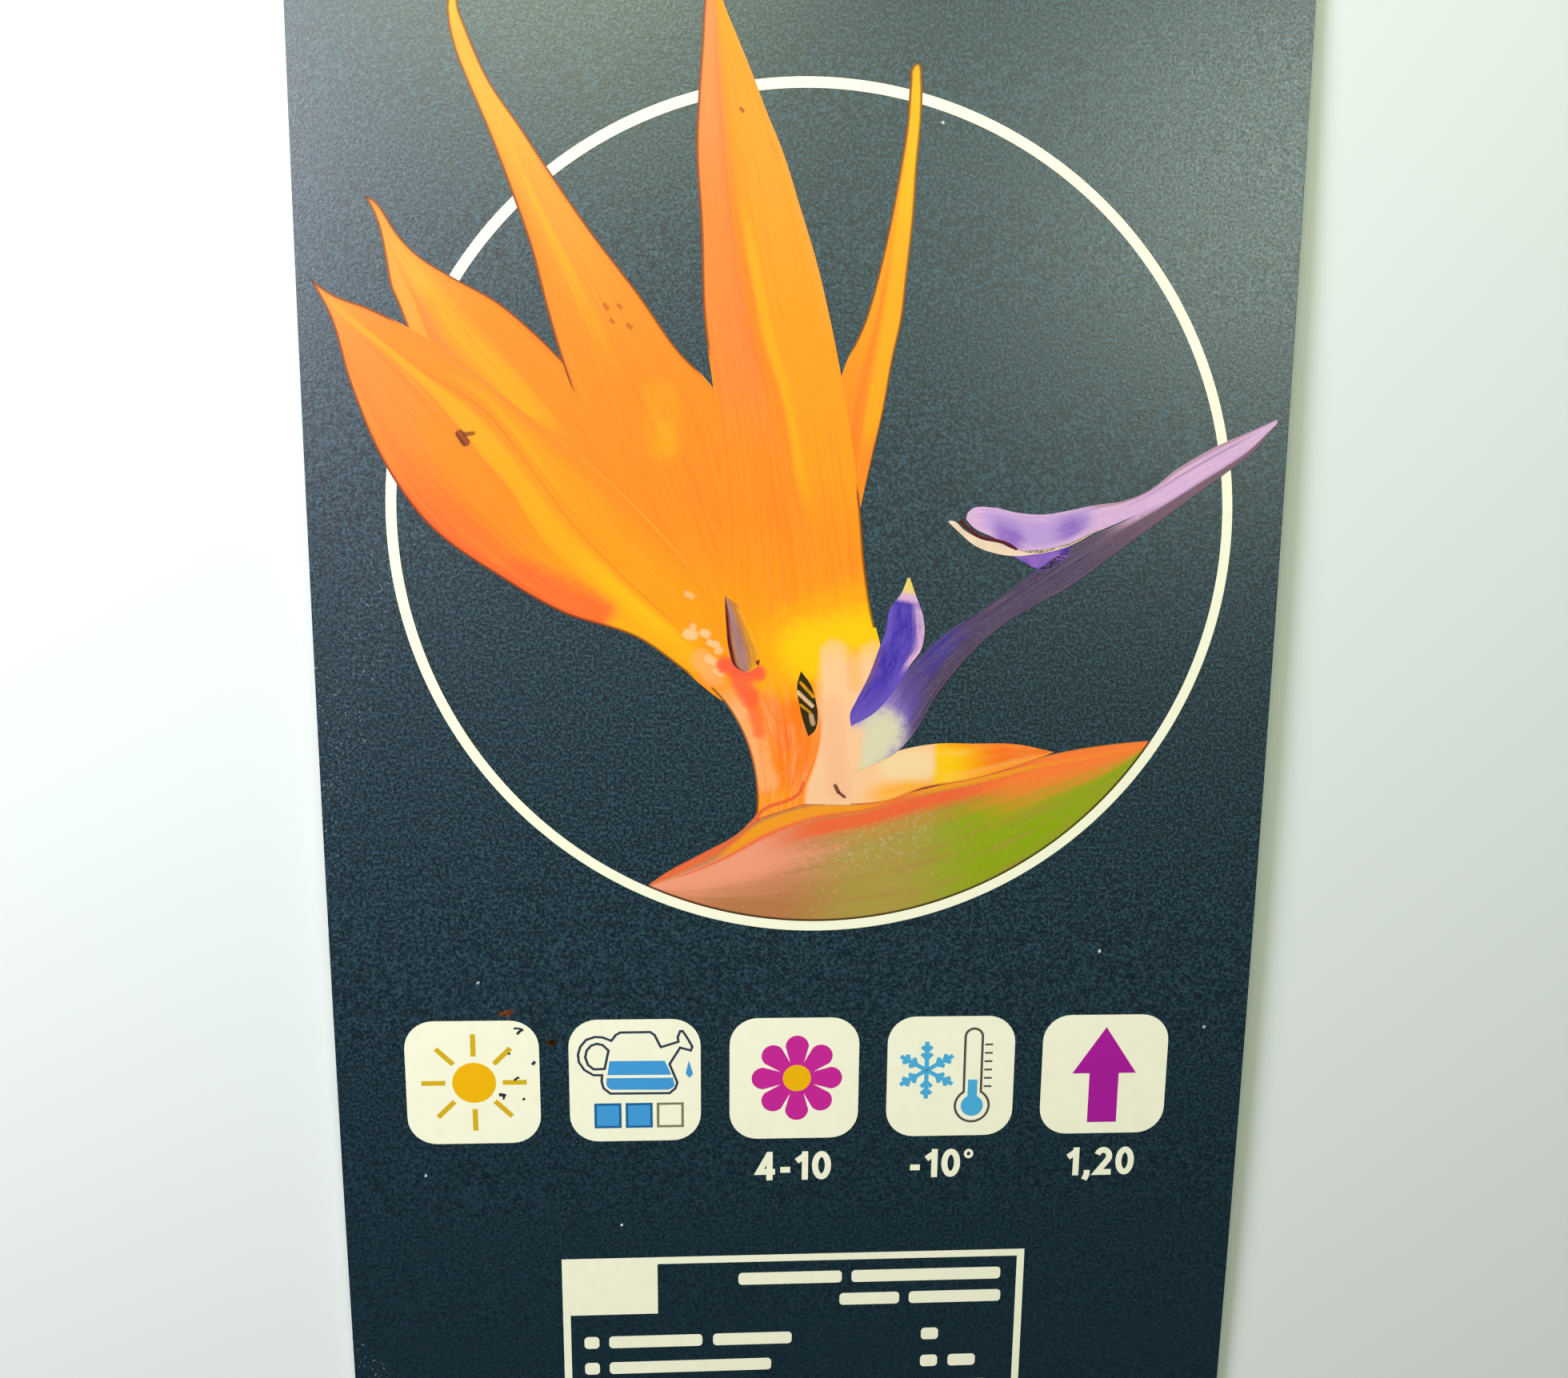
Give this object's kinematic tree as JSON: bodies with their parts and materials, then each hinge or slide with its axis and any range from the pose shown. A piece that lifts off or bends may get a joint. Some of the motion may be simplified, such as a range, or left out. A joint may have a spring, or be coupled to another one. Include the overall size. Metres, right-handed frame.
{
  "type": "plant label",
  "caption": "Printed plastic plant label: a thin rounded card, slightly arched, with a hang hole at its top and a pictured flower on its face.",
  "frame": {"origin": "centre of the bounding box's base: below the middle of the card, on the surface that it lies on", "axes": "+X across the label to the right, +Y up the label towards its hang hole, +Z out of the printed face"},
  "size_m": [0.09, 0.18, 0.0022],
  "materials": {
    "printed_plastic": "satin navy print on white plastic"
  },
  "bodies": {
    "root": {"label_card": "printed_plastic"}
  },
  "joints": []
}
